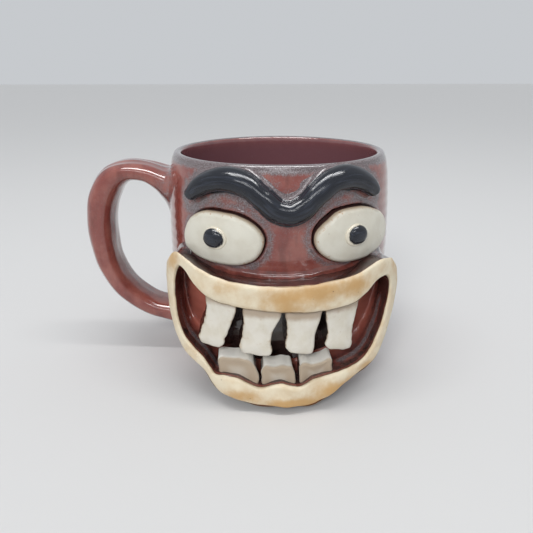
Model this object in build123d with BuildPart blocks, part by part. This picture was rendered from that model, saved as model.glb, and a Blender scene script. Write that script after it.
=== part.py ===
from build123d import *

import os
from math import cos, radians, sin, sqrt

# A wheel-thrown stoneware mug with a hand-built grimacing face. Millimetres, +Z up.
# The origin is the centre of the base on the cup's axis; the handle is on -X and the
# face looks along -Y, turned a little towards +X.

# Driving dimensions
HEIGHT = 98.0  # base to rim
RIM_RADIUS = 46.8  # outside of the rim
RIM_WALL = 3.4
BELLY_RADIUS = 50.4  # widest part of the barrel
FOOT_RADIUS = 39.0  # flat base, outside its bevel
FOOT_BEVEL = 1.5
WALL = 4.8
FLOOR = 7.0
FACE_TURN = 4.5  # degrees from -Y towards +X
LIP_FRONT = 64.5  # cup axis to the front of the lips
LIP_BOW = 55.0  # radius of the bow that the lips' fronts follow
LIP_EDGE = 1.0
MOUTH_BACK = 18.0  # where the mouth's side walls start, measured like LIP_FRONT
MOUTH_FLARE = 0.0037  # part of its size that the mouth's outline loses for each mm back
MOUTH_CENTRE = (0.0, 34.0)  # the outline narrows towards this point
TOOTH_SETBACK = 3.5  # tooth fronts behind the lip fronts
TOOTH_BACK = 30.0  # inside the cup's wall, which trims the upper teeth
LOWER_TOOTH_DEPTH = 8.5
TOOTH_EDGE = 1.2
EYE_FRONT = 55.2  # cup axis to the face of an eye
EYE_EDGE = 2.4  # rounding round the face of an eye
PUPIL_FRONT = 57.8
PUPIL_RADIUS = 4.6
PUPIL_EDGE = 1.8
BROW_AXIS = 51.2  # cup axis to the middle of the brow coil
BROW_DEPTH = 4.0  # half the coil's thickness, front to back
HANDLE_WIDTH = 21.0

# The plane of the face: its X runs to the viewer's right, its Y is up
turn = radians(FACE_TURN)
FACE = Plane(origin=(0, 0, 0), x_dir=(cos(turn), sin(turn), 0), z_dir=(sin(turn), -cos(turn), 0))
FORWARD = Axis((0, 0, 0), (sin(turn), -cos(turn), 0))


def on_wall(angle, height, radius):
    """A point at an angle from the face's middle, at a height, at a radius."""
    around = radians(angle + FACE_TURN)
    return Vector(radius * sin(around), -radius * cos(around), height)


def outward(angle):
    """The direction that faces away from the cup's axis at an angle."""
    return on_wall(angle, 0, 1)


def facing_plane(angle, height, radius):
    """The upright plane that faces outward there."""
    facing = outward(angle)
    return Plane(
        origin=on_wall(angle, height, radius), x_dir=Vector(0, 0, 1).cross(facing), z_dir=facing
    )


def front_edges(built, direction):
    """The edges of the face that lies furthest in a direction."""
    return built.faces().sort_by(Axis((0, 0, 0), direction))[-1].edges()


def save(part, name):
    """Label a finished piece and write it."""
    part.label = name
    export_step(part, f"parts/{name}.step")


os.makedirs("parts", exist_ok=True)

# The barrel: foot, belly, rim
outside = [
    (FOOT_RADIUS + FOOT_BEVEL, FOOT_BEVEL),
    (43.6, 9.0),
    (48.4, 30.0),
    (BELLY_RADIUS, 60.0),
    (49.6, 82.0),
    (48.9, 89.0),
    (RIM_RADIUS, HEIGHT),
]
inside = [
    (RIM_RADIUS - RIM_WALL, HEIGHT),
    (49.6 - WALL, 82.0),
    (BELLY_RADIUS - WALL, 60.0),
    (48.4 - WALL, 32.0),
    (39.0, 14.0),
    (30.0, FLOOR),
]

# The cup's outer form as one solid, which seats everything stuck to it
with BuildPart() as cup_form:
    with BuildSketch(Plane.XZ):
        with BuildLine():
            Polyline((0, 0), (FOOT_RADIUS, 0), outside[0])
            Spline(outside)
            Polyline(outside[-1], (0, HEIGHT), (0, 0))
        make_face()
    revolve(axis=Axis.Z)

# The cup: the form, hollowed, with a rounded rim
with BuildPart() as cup_body:
    add(cup_form.part)
    with BuildSketch(Plane.XZ):
        with BuildLine():
            Spline(inside)
            Polyline(inside[-1], (0, FLOOR), (0, HEIGHT), inside[0])
        make_face()
    revolve(axis=Axis.Z, mode=Mode.SUBTRACT)
    fillet(cup_body.edges().group_by(Axis.Z)[-1], RIM_WALL * 0.45)
save(cup_body.part, "cup_body")

# The pulled handle: x and z of the strap's middle, its thickness and its width
strap = [
    (-44.5, 79.5, 19.0, HANDLE_WIDTH + 7),
    (-52.0, 83.0, 13.5, HANDLE_WIDTH + 3),
    (-60.0, 87.0, 8.6, HANDLE_WIDTH + 1),
    (-68.5, 88.3, 8.6, HANDLE_WIDTH),
    (-76.8, 85.2, 10.6, HANDLE_WIDTH),
    (-82.0, 77.0, 11.4, HANDLE_WIDTH),
    (-84.0, 66.0, 11.5, HANDLE_WIDTH),
    (-83.7, 54.5, 11.2, HANDLE_WIDTH),
    (-81.4, 43.5, 10.8, HANDLE_WIDTH),
    (-76.8, 34.0, 10.2, HANDLE_WIDTH),
    (-69.5, 26.0, 9.6, HANDLE_WIDTH - 1),
    (-60.5, 20.8, 9.4, HANDLE_WIDTH - 1),
    (-51.0, 18.6, 10.4, HANDLE_WIDTH),
    (-42.5, 18.2, 12.5, HANDLE_WIDTH + 1),
]

with BuildPart() as handle:
    for i, (x, z, thickness, width) in enumerate(strap):
        before = strap[max(i - 1, 0)]
        after = strap[min(i + 1, len(strap) - 1)]
        along = Vector(after[0] - before[0], 0, after[1] - before[1])
        across = Vector(along.Z, 0, -along.X)
        with BuildSketch(Plane(origin=(x, 0, z), x_dir=across, z_dir=along)):
            Ellipse(thickness / 2, width / 2)
    loft()
    add(cup_form.part, mode=Mode.SUBTRACT)
save(handle.part, "handle")

# The brow, one coil bent into a V: angle, height and half width of each section
brow_coil = [
    (-48.5, 84.0, 2.2),
    (-43.5, 87.8, 3.5),
    (-36.0, 91.2, 4.2),
    (-28.0, 92.6, 4.4),
    (-19.5, 91.2, 4.3),
    (-11.0, 86.0, 4.2),
    (-5.0, 81.7, 4.3),
    (0.5, 80.4, 4.4),
    (6.0, 82.2, 4.3),
    (12.5, 87.3, 4.3),
    (20.0, 91.8, 4.4),
    (28.0, 92.9, 4.4),
    (36.0, 91.0, 4.1),
    (41.5, 88.0, 3.3),
    (44.8, 85.2, 2.1),
]

with BuildPart() as eyebrow:
    for i, (angle, height, half) in enumerate(brow_coil):
        before = on_wall(*brow_coil[max(i - 1, 0)][:2], BROW_AXIS)
        after = on_wall(*brow_coil[min(i + 1, len(brow_coil) - 1)][:2], BROW_AXIS)
        along = after - before
        middle = on_wall(angle, height, BROW_AXIS)
        facing = outward(angle)
        facing = facing - along * (facing.dot(along) / along.dot(along))
        depth = BROW_DEPTH * (0.55 + 0.45 * half / 4.4)
        with BuildSketch(Plane(origin=middle, x_dir=facing, z_dir=along)):
            Ellipse(depth, half)
    loft()
    add(cup_form.part, mode=Mode.SUBTRACT)
save(eyebrow.part, "eyebrow")

# The eyes, flattened oval pads: angle, height, half width, half height, tilt
eye_pads = {
    "left": (-30.4, 69.6, 18.9, 10.9, -6.0),
    "right": (32.0, 70.3, 19.5, 11.4, 6.0),
}
pupil_places = {"left": (-30.4, 70.9), "right": (28.8, 71.3)}

for side, (angle, height, half_width, half_height, tilt) in eye_pads.items():
    with BuildPart() as eye:
        with BuildSketch(facing_plane(angle, height, 0)):
            Ellipse(half_width, half_height, rotation=tilt)
        extrude(amount=EYE_FRONT + 10)
        Cylinder(EYE_FRONT, 4 * HEIGHT, mode=Mode.INTERSECT)
        fillet(front_edges(eye, outward(angle)), EYE_EDGE)
        add(cup_form.part, mode=Mode.SUBTRACT)
    save(eye.part, f"{side}_eye")

    # A pellet with a domed top, pressed onto the eye
    angle, height = pupil_places[side]
    with BuildPart() as pupil:
        with BuildSketch(facing_plane(angle, height, EYE_FRONT - 3)):
            Circle(PUPIL_RADIUS)
        extrude(amount=PUPIL_FRONT - EYE_FRONT + 3)
        fillet(front_edges(pupil, outward(angle)), PUPIL_EDGE)
        add(eye.part, mode=Mode.SUBTRACT)
    save(pupil.part, f"{side}_pupil")

# The lips' fronts follow an upright bow, and the teeth stand a little behind it
bow_middle = FORWARD.direction * (LIP_FRONT - LIP_BOW)

with BuildPart() as lip_form:
    with BuildSketch(Plane(origin=bow_middle, z_dir=(0, 0, 1))):
        Circle(LIP_BOW)
    extrude(amount=HEIGHT)

with BuildPart() as tooth_form:
    with BuildSketch(Plane(origin=bow_middle, z_dir=(0, 0, 1))):
        Circle(LIP_BOW - TOOTH_SETBACK)
    extrude(amount=HEIGHT)

with BuildPart() as behind_lower_teeth:
    with BuildSketch(Plane(origin=bow_middle, z_dir=(0, 0, 1))):
        Circle(LIP_BOW - TOOTH_SETBACK - LOWER_TOOTH_DEPTH)
    extrude(amount=HEIGHT)

# Outlines in the plane of the face, x then z, from the left corner to the right
left_corner = [(-48.6, 57.5), (-43.1, 57.5)]
right_corner = [(48.0, 52.5), (40.9, 52.2)]
upper_top = [
    left_corner[0], (-45.3, 62.2), (-40.0, 61.4), (-32.5, 58.0), (-20.0, 56.2), (0.0, 56.0),
    (17.0, 56.8), (26.0, 57.2), (32.0, 59.0), (38.0, 60.3), (43.5, 58.6), right_corner[0],
]
upper_bottom = [
    left_corner[1], (-36.4, 50.9), (-29.4, 47.0), (-19.0, 45.8), (0.0, 44.7), (10.0, 44.3),
    (22.0, 45.0), (28.5, 46.4), (34.8, 51.0), right_corner[1],
]
lower_top = [
    left_corner[1], (-46.2, 48.0), (-45.8, 36.0), (-42.0, 25.5), (-34.5, 19.5), (-29.8, 14.2),
    (-23.0, 14.7), (-12.3, 11.6), (-4.0, 13.6), (4.0, 12.1), (10.8, 15.0), (18.0, 15.7),
    (29.0, 17.7), (37.0, 24.7), (42.6, 37.5), (43.8, 46.0), right_corner[1],
]
lower_bottom = [
    left_corner[0], (-50.2, 48.0), (-49.4, 36.0), (-46.6, 24.0), (-41.0, 17.6), (-35.0, 14.7),
    (-30.0, 7.4), (-23.6, 5.5), (-12.0, 3.0), (-2.0, 3.7), (7.0, 2.9), (15.4, 5.4),
    (22.0, 9.6), (30.5, 12.4), (38.7, 16.2), (45.6, 28.5), (49.8, 39.5), (50.1, 46.0),
    right_corner[0],
]


def mouth_size(distance):
    """The size of the mouth's outline at a distance from the cup's axis."""
    return 1 - MOUTH_FLARE * (LIP_FRONT - distance)


def outline_at(points, distance):
    """An outline that is given on the bowed fronts, as it is at a distance from the axis."""
    x0, z0 = MOUTH_CENTRE
    moved = []
    for x, z in points:
        front = LIP_FRONT - LIP_BOW + sqrt(LIP_BOW**2 - x**2)
        scale = mouth_size(distance) / mouth_size(front)
        moved.append((x0 + scale * (x - x0), z0 + scale * (z - z0)))
    return moved


# The lips: thick bands stuck on edge-on, whose sides narrow towards the cup
lips = {
    "upper_lip": (upper_top, upper_bottom),
    "lower_lip": (lower_top, lower_bottom),
}
lip_parts = {}

for name, (top, bottom) in lips.items():
    with BuildPart() as lip:
        for distance in (MOUTH_BACK, LIP_FRONT):
            above = outline_at(top, distance)
            below = outline_at(bottom, distance)
            with BuildSketch(FACE.offset(distance)):
                with BuildLine():
                    Spline(above)
                    Spline(below)
                    Line(above[0], below[0])
                    Line(above[-1], below[-1])
                make_face()
        loft()
        add(lip_form.part, mode=Mode.INTERSECT)
        fillet(front_edges(lip, FORWARD.direction), LIP_EDGE)
        add(cup_form.part, mode=Mode.SUBTRACT)
    lip_parts[name] = lip.part
    save(lip.part, name)

# The teeth: slabs from the cup's wall to the upper lip, and blocks that stand on the lower
# lip clear of the wall. Corners in the plane of the face
teeth = {
    "upper_tooth_1": [(-32.3, 50.0), (-20.8, 50.0), (-25.3, 27.2), (-29.8, 25.6), (-36.4, 30.6)],
    "upper_tooth_2": [(-18.2, 50.0), (-3.8, 50.0), (-6.4, 25.2), (-12.8, 24.2), (-19.6, 26.4)],
    "upper_tooth_3": [(-1.4, 50.0), (12.8, 50.0), (9.6, 25.3), (3.4, 24.6), (-1.9, 26.6)],
    "upper_tooth_4": [(15.0, 50.0), (28.0, 50.0), (26.4, 24.4), (20.0, 23.7), (14.6, 26.0)],
    "lower_tooth_1": [(-28.3, 12.5), (-28.0, 20.4), (-16.6, 21.2), (-11.8, 18.0), (-11.5, 10.0)],
    "lower_tooth_2": [(-10.9, 10.0), (-10.8, 20.4), (-4.0, 21.6), (1.8, 20.6), (3.2, 10.0)],
    "lower_tooth_3": [(4.6, 10.0), (4.8, 19.6), (11.0, 21.2), (17.4, 20.8), (18.6, 12.5)],
}

for name, corners in teeth.items():
    row = name.split("_")[0]
    with BuildPart() as tooth:
        with BuildSketch(FACE.offset(TOOTH_BACK)):
            Polygon(*corners, align=None)
        extrude(amount=LIP_FRONT - TOOTH_BACK)
        add(tooth_form.part, mode=Mode.INTERSECT)
        if row == "lower":
            add(behind_lower_teeth.part, mode=Mode.SUBTRACT)
        back_edges = tooth.faces().sort_by(FORWARD)[0].edges()
        fillet(tooth.edges() - back_edges, TOOTH_EDGE)
        add(cup_form.part, mode=Mode.SUBTRACT)
        add(lip_parts[f"{row}_lip"], mode=Mode.SUBTRACT)
    save(tooth.part, name)
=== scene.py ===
from math import atan2, cos, degrees, pi, radians, sin

import bmesh
import bpy
import numpy as np
from mathutils import Matrix, Vector


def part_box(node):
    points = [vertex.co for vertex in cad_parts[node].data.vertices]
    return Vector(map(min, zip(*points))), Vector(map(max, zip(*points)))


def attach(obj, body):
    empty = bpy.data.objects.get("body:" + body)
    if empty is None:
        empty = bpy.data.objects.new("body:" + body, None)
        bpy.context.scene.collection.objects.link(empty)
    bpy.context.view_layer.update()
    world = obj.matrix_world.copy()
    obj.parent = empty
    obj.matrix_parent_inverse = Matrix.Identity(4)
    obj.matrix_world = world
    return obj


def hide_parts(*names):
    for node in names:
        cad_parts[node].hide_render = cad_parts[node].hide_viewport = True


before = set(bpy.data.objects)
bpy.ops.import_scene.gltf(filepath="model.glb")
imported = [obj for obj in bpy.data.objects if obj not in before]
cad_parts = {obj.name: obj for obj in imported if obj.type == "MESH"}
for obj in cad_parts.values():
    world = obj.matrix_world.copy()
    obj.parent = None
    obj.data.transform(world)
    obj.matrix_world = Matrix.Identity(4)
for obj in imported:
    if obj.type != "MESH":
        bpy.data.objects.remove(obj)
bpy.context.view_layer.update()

# A glazed stoneware face mug. Shapes are worked out in millimetres in the row frame and
# scaled to metres when a mesh is made. "Left" and "right" are the viewer's.
MM = 1000.0
TURN = radians(4.5)  # the face is turned this far from -Y towards +X


# ---------------------------------------------------------------- places
def corners(*nodes):
    """The lowest and highest corner of some CAD nodes together, in millimetres."""
    boxes = [np.array(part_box(node)) * MM for node in nodes]
    return np.min([b[0] for b in boxes], 0), np.max([b[1] for b in boxes], 0)


def home(node):
    """A CAD node's middle: angle from the face's middle, distance to the right, height."""
    low, high = corners(node)
    x, y, z = (low + high) / 2
    angle = degrees(atan2(x, -y) - TURN)
    return angle, x * cos(TURN) + y * sin(TURN), z


def on_wall(angle, height, radius):
    """Points at angles from the face's middle, at heights and radii."""
    around = np.radians(angle) + TURN
    return np.stack(np.broadcast_arrays(radius * np.sin(around), -radius * np.cos(around), height), -1)


def on_face(across, height, forward):
    """Points in the face's own directions: to the viewer's right, up and forward."""
    return np.stack(np.broadcast_arrays(across * cos(TURN) + forward * sin(TURN),
                                        across * sin(TURN) - forward * cos(TURN), height), -1)


def curve(points, spans, closed=False):
    """A smooth curve through some points, with a number of steps to each span."""
    p = np.asarray(points, float)
    if closed:
        p = np.vstack([p, p[:1]])
    chord = np.maximum(np.linalg.norm(np.diff(p, axis=0), axis=1), 1e-6)[:, None]
    slope = np.diff(p, axis=0) / chord
    lean = np.empty_like(p)
    lean[1:-1] = (slope[:-1] * chord[1:] + slope[1:] * chord[:-1]) / (chord[1:] + chord[:-1])
    if closed:
        lean[0] = lean[-1] = (slope[-1] * chord[0] + slope[0] * chord[-1]) / (chord[0] + chord[-1])
    else:
        lean[0], lean[-1] = slope[0], slope[-1]
    t = (np.arange(spans) / spans)[None, :, None]
    a, b = p[:-1, None], p[1:, None]
    da, db = (lean[:-1] * chord)[:, None], (lean[1:] * chord)[:, None]
    made = (a * (2 * t**3 - 3 * t**2 + 1) + da * (t**3 - 2 * t**2 + t)
            + b * (3 * t**2 - 2 * t**3) + db * (t**3 - t**2)).reshape(-1, p.shape[1])
    return made if closed else np.vstack([made, p[-1:]])


def run_along(line):
    """How far along a line each of its points is."""
    return np.concatenate([[0], np.cumsum(np.linalg.norm(np.diff(line, axis=0), axis=1))])


def unit(ways):
    """Directions with a length of 1."""
    return ways / np.linalg.norm(ways, axis=-1)[..., None]


def even(points, count):
    """A closed outline as a number of points that are equally far apart."""
    loop = np.vstack([points, points[:1]])
    run = run_along(loop)
    at = np.linspace(0, run[-1], count, endpoint=False)
    return np.stack([np.interp(at, run, loop[:, i]) for i in range(loop.shape[1])], -1)


def lumps(points, size, seed):
    """Soft hand-made unevenness, about from -1 to 1, with bumps of a size."""
    draw = np.random.default_rng(seed)
    total = 0
    for _ in range(7):
        way = draw.normal(size=points.shape[-1])
        way /= np.linalg.norm(way) * size / (2 * pi) * draw.uniform(0.7, 1.6)
        total = total + np.sin(points @ way + draw.uniform(0, 2 * pi))
    return total / 3.2


def ease(value, low, high):
    """0 below low, 1 above high and smooth between them."""
    t = np.clip((np.asarray(value, float) - low) / (high - low), 0, 1)
    return t * t * (3 - 2 * t)


def reach(points, line):
    """How far each 2-D point is from a line of points."""
    best = np.full(points.shape[:-1], 1e9)
    for a, b in zip(line[:-1], line[1:]):
        along = b - a
        t = np.clip(((points - a) @ along) / max(along @ along, 1e-9), 0, 1)
        best = np.minimum(best, np.linalg.norm(points - (a + t[..., None] * along), axis=-1))
    return best


def inside(points, loop):
    """Which 2-D points lie inside a closed loop."""
    hit = np.zeros(points.shape[:-1], bool)
    for (ax, ay), (bx, by) in zip(loop, np.roll(loop, -1, 0)):
        crosses = (ay > points[..., 1]) != (by > points[..., 1])
        reach_x = ax + (points[..., 1] - ay) / ((by - ay) or 1e-9) * (bx - ax)
        hit ^= crosses & (points[..., 0] < reach_x)
    return hit


# ---------------------------------------------------------------- meshes
CREASE = radians(75)  # faces that meet at more than this stay sharp


def add_object(name, data):
    made = bpy.data.objects.new(name, data)
    bpy.context.scene.collection.objects.link(made)
    return made


def skin(name, node, rows, marks):
    """A mesh that replaces a CAD node. rows are closed rings of points, and the first and the
    last ring are filled in. marks are values for each point, which the materials read."""
    count, width = rows.shape[:2]
    points = rows.reshape(-1, 3)
    marks = {key: np.asarray(value, float).reshape(count * width, -1) for key, value in marks.items()}
    quads = []
    for i in range(count - 1):
        for j in range(width):
            k = (j + 1) % width
            quads.append((i * width + j, i * width + k, (i + 1) * width + k, (i + 1) * width + j))
    for start in (0, (count - 1) * width):
        ring = slice(start, start + width)
        middle = len(points)
        points = np.vstack([points, points[ring].mean(0)])
        marks = {key: np.vstack([value, value[ring].mean(0)]) for key, value in marks.items()}
        quads += [(start + j, start + (j + 1) % width, middle) for j in range(width)]
    mesh = bpy.data.meshes.new(name)
    mesh.from_pydata((points / MM).tolist(), [], quads)
    for key, value in marks.items():
        kind = "FLOAT" if value.shape[1] == 1 else "FLOAT_VECTOR"
        layer = mesh.attributes.new(key, kind, "POINT")
        layer.data.foreach_set("value" if kind == "FLOAT" else "vector", value.astype(np.float32).ravel())
    shaped = bmesh.new()
    shaped.from_mesh(mesh)
    bmesh.ops.recalc_face_normals(shaped, faces=shaped.faces)
    shaped.to_mesh(mesh)
    shaped.free()
    mesh.polygons.foreach_set("use_smooth", [True] * len(mesh.polygons))
    mesh.set_sharp_from_angle(angle=CREASE)
    piece = add_object(name, mesh)
    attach(piece, "root")
    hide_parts(node)
    return piece


def finish_as(piece, look):
    """Give a piece its material."""
    piece.data.materials.append(look)


def seated(points, sideways, radius):
    """Spread points near the cup's wall sideways along it, in a concave fillet."""
    away = np.hypot(points[..., 0], points[..., 1]) - cup_radius(points[..., 2])
    near = np.clip((radius - away) / radius, 0, 1)
    moved = points + sideways * (radius * (1 - np.sqrt(1 - near**2)))[..., None]
    wanted = cup_radius(moved[..., 2]) + away
    moved[..., :2] *= (wanted / np.hypot(moved[..., 0], moved[..., 1]))[..., None]
    return moved


def pad(outline, place, edge, crown, thickness, dish=0.0, rings=16):
    """A pad's rows: from the middle of its face out to its outline, over an edge of a radius
    and back down its sides. crown is how far the face falls towards the edge and dish how far
    its middle is pressed in. place turns (across, height, depth) into points. Also gives each
    point's depth and how far it is on a side that faces left or right."""
    middle = outline.mean(0)
    ahead, behind = np.roll(outline, -1, 0), np.roll(outline, 1, 0)
    way = unit(ahead - behind)
    out = np.stack([way[:, 1], -way[:, 0]], -1)
    if ((outline - middle) * out).sum() < 0:
        out = -out
    inner = outline - out * edge
    flat, depth, side = [], [], []
    for s in np.linspace(0.04, 1, rings):  # the face
        flat.append(middle + (inner - middle) * s)
        depth.append(crown * s**2.2 + dish * (1 - s**2))
        side.append(0.0)
    for turn in np.linspace(0, pi / 2, 8)[1:]:  # its rounded edge
        flat.append(inner + out * edge * sin(turn))
        depth.append(crown + edge * (1 - cos(turn)))
        side.append(sin(turn))
    for s in np.linspace(0, 1, 12)[1:]:  # its sides
        flat.append(outline)
        depth.append(crown + edge + (thickness - crown - edge) * s)
        side.append(1.0)
    flat = np.array(flat)
    depth = np.array(depth)[:, None] * np.ones(len(outline))
    side = np.array(side)[:, None] * ease(np.abs(out[None, :, 0]), 0.72, 0.96)
    return place(flat[..., 0], flat[..., 1], depth), depth, side


# ---------------------------------------------------------------- the cup
BELLY, _, HEIGHT = corners("cup_body")[1]
FOOT = 39.0  # radius of the base
BEVEL = 1.5  # height of the bevel round the base
FOOT_RING = 2.4  # height that the bare clay reaches
GLAZED = -5  # the mark "bare" where there is glaze all over
SHOULDER = 96.2  # the rim is rounded above this height
FLOOR_RADIUS, FLOOR_HEIGHT = 30, 7  # the flat of the floor inside
# How far the walls stand in from the belly, then the height
OUTSIDE = [(9.9, 1.5), (6.8, 9), (4.2, 18), (2.0, 30), (0.5, 45), (0, 60), (0.15, 71), (0.8, 82),
           (1.5, 89), (2.3, 93.5), (3.8, 98)]
INSIDE = [(7.0, 98), (5.5, 82), (4.8, 60), (6.8, 32), (11.4, 14), (20.4, 7)]
OUTER_CURVE = curve(OUTSIDE, 16)


def cup_radius(height):
    """The radius of the cup's outside at a height."""
    return BELLY - np.interp(height, OUTER_CURVE[:, 1], OUTER_CURVE[:, 0])


# The eyes' outlines, from their middles: degrees round the cup, then height
EYES = {
    "left": [(-10.2, 9.4), (2, 10.1), (8.5, 9.3), (13.7, 7.3), (18.0, 4.2), (19.8, 0.9), (19.1, -3.3),
             (15.8, -7.7), (10.2, -10.1), (1.2, -10.9), (-7.1, -10.5), (-14.8, -8.9), (-20.1, -6.2),
             (-21.1, -2.0), (-19.1, 3.2), (-15.3, 7.0)],
    "right": [(-12.4, 8.6), (-8.8, 10.1), (-2.5, 10.6), (5, 10.2), (11.5, 8.4), (18.5, 5.0), (21.7, 0.3),
              (21.5, -4.5), (16.6, -8.6), (8.3, -11), (-0.8, -11.5), (-8.6, -10.9), (-14.3, -8.8),
              (-18.4, -5.7), (-20.6, -1.6), (-20.3, 1.8), (-17.6, 4.8), (-14.6, 6.9)],
}
# Each socket follows its eye, but for the gap where the right eye's pad is dented
SOCKETS = {"left": EYES["left"], "right": [(-10.8, 9.9)] + EYES["right"][1:-3]
           + [(-20.6, 1.0), (-19.5, 3.8), (-17.2, 6.1), (-14.2, 8.1)]}
# The brow's middle line: degrees from the face's middle, height, half width
BROW = [(-49.2, 83.2, 2.4), (-43.5, 87.8, 3.7), (-36, 91.2, 4.3), (-28, 92.6, 4.4), (-19.5, 91.2, 4.3),
        (-11, 86, 4.2), (-5, 81.7, 4.3), (0.5, 80.4, 4.4), (6, 82.2, 4.3), (12.5, 87.3, 4.3),
        (20, 91.8, 4.4), (28, 92.9, 4.4), (36, 91, 4.2), (41.5, 87.8, 3.6), (45.4, 84.2, 2.4)]
ARC = radians(50.5)  # millimetres along the wall for each degree


def eye_outline(side, outlines, count=220):
    """An eye's or socket's outline: degrees from the face's middle, then height."""
    angle, _, height = home(f"{side}_eye")
    line = curve(np.array(outlines[side]) + (angle, height), 10, closed=True)
    return even(line * (ARC, 1), count) / (ARC, 1)


def round_profile():
    """The cup's profile from the middle of its base, up the outside and down to its floor."""
    levels = np.linspace(BEVEL, SHOULDER, 152)
    outside = np.stack([np.interp(levels, OUTER_CURVE[:, 1], BELLY - OUTER_CURVE[:, 0]), levels], -1)
    inner = curve(INSIDE, 10)
    inner[:, 0] = BELLY - inner[:, 0]
    inner = inner[inner[:, 1] < SHOULDER]
    rim_middle, rim_half = (outside[-1, 0] + inner[0, 0]) / 2, (outside[-1, 0] - inner[0, 0]) / 2
    over = np.linspace(0, pi, 15)[1:-1]
    top = HEIGHT - SHOULDER - 0.2  # room for the rim's unevenness
    rim = np.stack([rim_middle + rim_half * np.cos(over), SHOULDER + top * np.sin(over) ** 0.9], -1)
    base = [(s * (FOOT - 0.4), 0) for s in (0.05, 0.35, 0.7, 0.9, 1)]
    base += [(FOOT, 0.05), (FOOT + 0.9, 0.6)]
    floor = [(s * FLOOR_RADIUS, FLOOR_HEIGHT - 0.3 * (1 - s)) for s in (0.8, 0.5, 0.2)]
    return np.vstack([base, outside, rim, inner, floor]), len(base), len(outside)


def press_socket(side, flat, region, grown, pool_and_shade, break_and_highlight):
    """Press the wall in round an eye, so that it stands up a little beyond the groove, and
    mark the glaze there. flat is degrees round the cup as millimetres, then height."""
    line = eye_outline(side, SOCKETS) * (ARC, 1)
    near = region & (np.abs(flat[..., 1] - home(f"{side}_eye")[2]) < 20)
    spots = flat[near]
    gap = reach(spots, np.vstack([line, line[:1]]))
    gap = np.where(inside(spots, line), -gap, gap)
    middle = line.mean(0)
    inward = (spots[:, 0] - middle[0]) * (1 if side == "left" else -1)
    upper = ease(spots[:, 1] - middle[1] + 0.45 * inward, -7, 6)
    gap = gap - 0.05 - 0.2 * upper
    trench = 1 - ease(gap, -0.2, 0.55)
    ridge = np.exp(-((gap - 1.05) / 0.55) ** 2)
    grown[near] += -1.3 * trench * (0.5 + 0.5 * upper) + 0.62 * ridge * (0.15 + 0.85 * upper)
    pool_and_shade[near] = np.maximum(pool_and_shade[near], 0.75 * (1 - ease(gap, 0.0, 0.5)))
    break_and_highlight[near] = np.maximum(break_and_highlight[near], 0.62 * np.exp(-((gap - 2.2) / 2.2) ** 2))


def in_the_mouth(across, height):
    """How much painted shade lies on the wall behind the teeth, and how much painted light on
    the red beside them, at points of the wall."""
    behind = ease(across, -33, -27) * (1 - ease(across, 25, 30))
    behind = behind * ease(height, 8, 12) * (1 - ease(height, 52, 55))
    flank = ease(np.abs(across), 27, 33) * (1 - ease(np.abs(across), 39, 42))
    return behind, flank * (1 - behind) * ease(height, 16, 22) * (1 - ease(height, 50, 56))


def build_cup():
    profile, first, count = round_profile()
    # fine steps where the face is and coarse ones round the back
    angles = np.concatenate([np.arange(-80, 80, 0.62), np.arange(80, 280, 2.5)])
    radius = np.repeat(profile[:, :1], len(angles), 1)
    height = np.repeat(profile[:, 1:], len(angles), 1)
    around = np.broadcast_to(angles, radius.shape)
    flat = np.stack([(((around + 180) % 360) - 180) * ARC, height], -1)
    round_about = on_wall(around, height, radius)

    outer = np.zeros(len(profile), bool)
    outer[first:first + count] = True
    throwing = np.sin(height * 1.35 + 0.5 * np.sin(np.radians(around)))
    grown = 0.16 * lumps(round_about, 26, 1) + 0.05 * throwing
    pool_and_shade = np.zeros(radius.shape)
    # the rim breaks grey where the glaze thins, which also paints in its highlight
    break_and_highlight = ease(height, 92.5, 96.5) * (radius > BELLY - 6.2)
    region = outer[:, None] & (np.abs(flat[..., 0]) < 66)

    for side in SOCKETS:
        press_socket(side, flat, region, grown, pool_and_shade, break_and_highlight)

    # The glaze breaks grey beside the brow
    line = np.array(BROW)[:, :2] * (ARC, 1)
    near = region & (height > 70)
    beside = reach(flat[near], line) - 4.4
    aside = 0.4 + 0.6 * ease(np.abs(flat[near][:, 0]), 7, 17)
    break_and_highlight[near] = np.maximum(break_and_highlight[near], 0.78 * aside * np.exp(-((beside - 0.5) / 3.8) ** 2))

    # painted shade on the wall behind the teeth, and painted light on the red beside them
    front = outer[:, None] & (np.abs(around) < 70)
    behind, painted_light = in_the_mouth(radius * np.sin(np.radians(around)), height)
    pool_and_shade = np.where(front, np.maximum(pool_and_shade, behind), pool_and_shade)

    # The foot is bare clay below a ragged line; the base's middle and the inside are glazed
    footed = outer | (profile[:, 1] < 2) & (profile[:, 0] > 10)
    bare = np.where(footed, FOOT_RING - profile[:, 1], GLAZED)[:, None]
    bare = np.broadcast_to(bare, radius.shape) - 0.4 * lumps(round_about, 14, 3)
    bare = np.where((np.arange(len(profile)) > first + count)[:, None], GLAZED, bare)

    rim = ease(height, 88, 98) * 0.12 * lumps(round_about * (1, 1, 0), 60, 4)
    rows = on_wall(around, height + rim, radius + np.where(outer[:, None], grown, 0))
    step = np.arange(len(profile)) - first - count
    within = ease(step, 6, 16)[:, None] + 0 * radius
    marks = {"pool_and_shade": pool_and_shade, "break_and_highlight": break_and_highlight, "bare": bare, "within": within, "painted_light": front * painted_light}
    finish_as(skin("mug_body", "cup_body", rows, marks), GLAZE)


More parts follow.
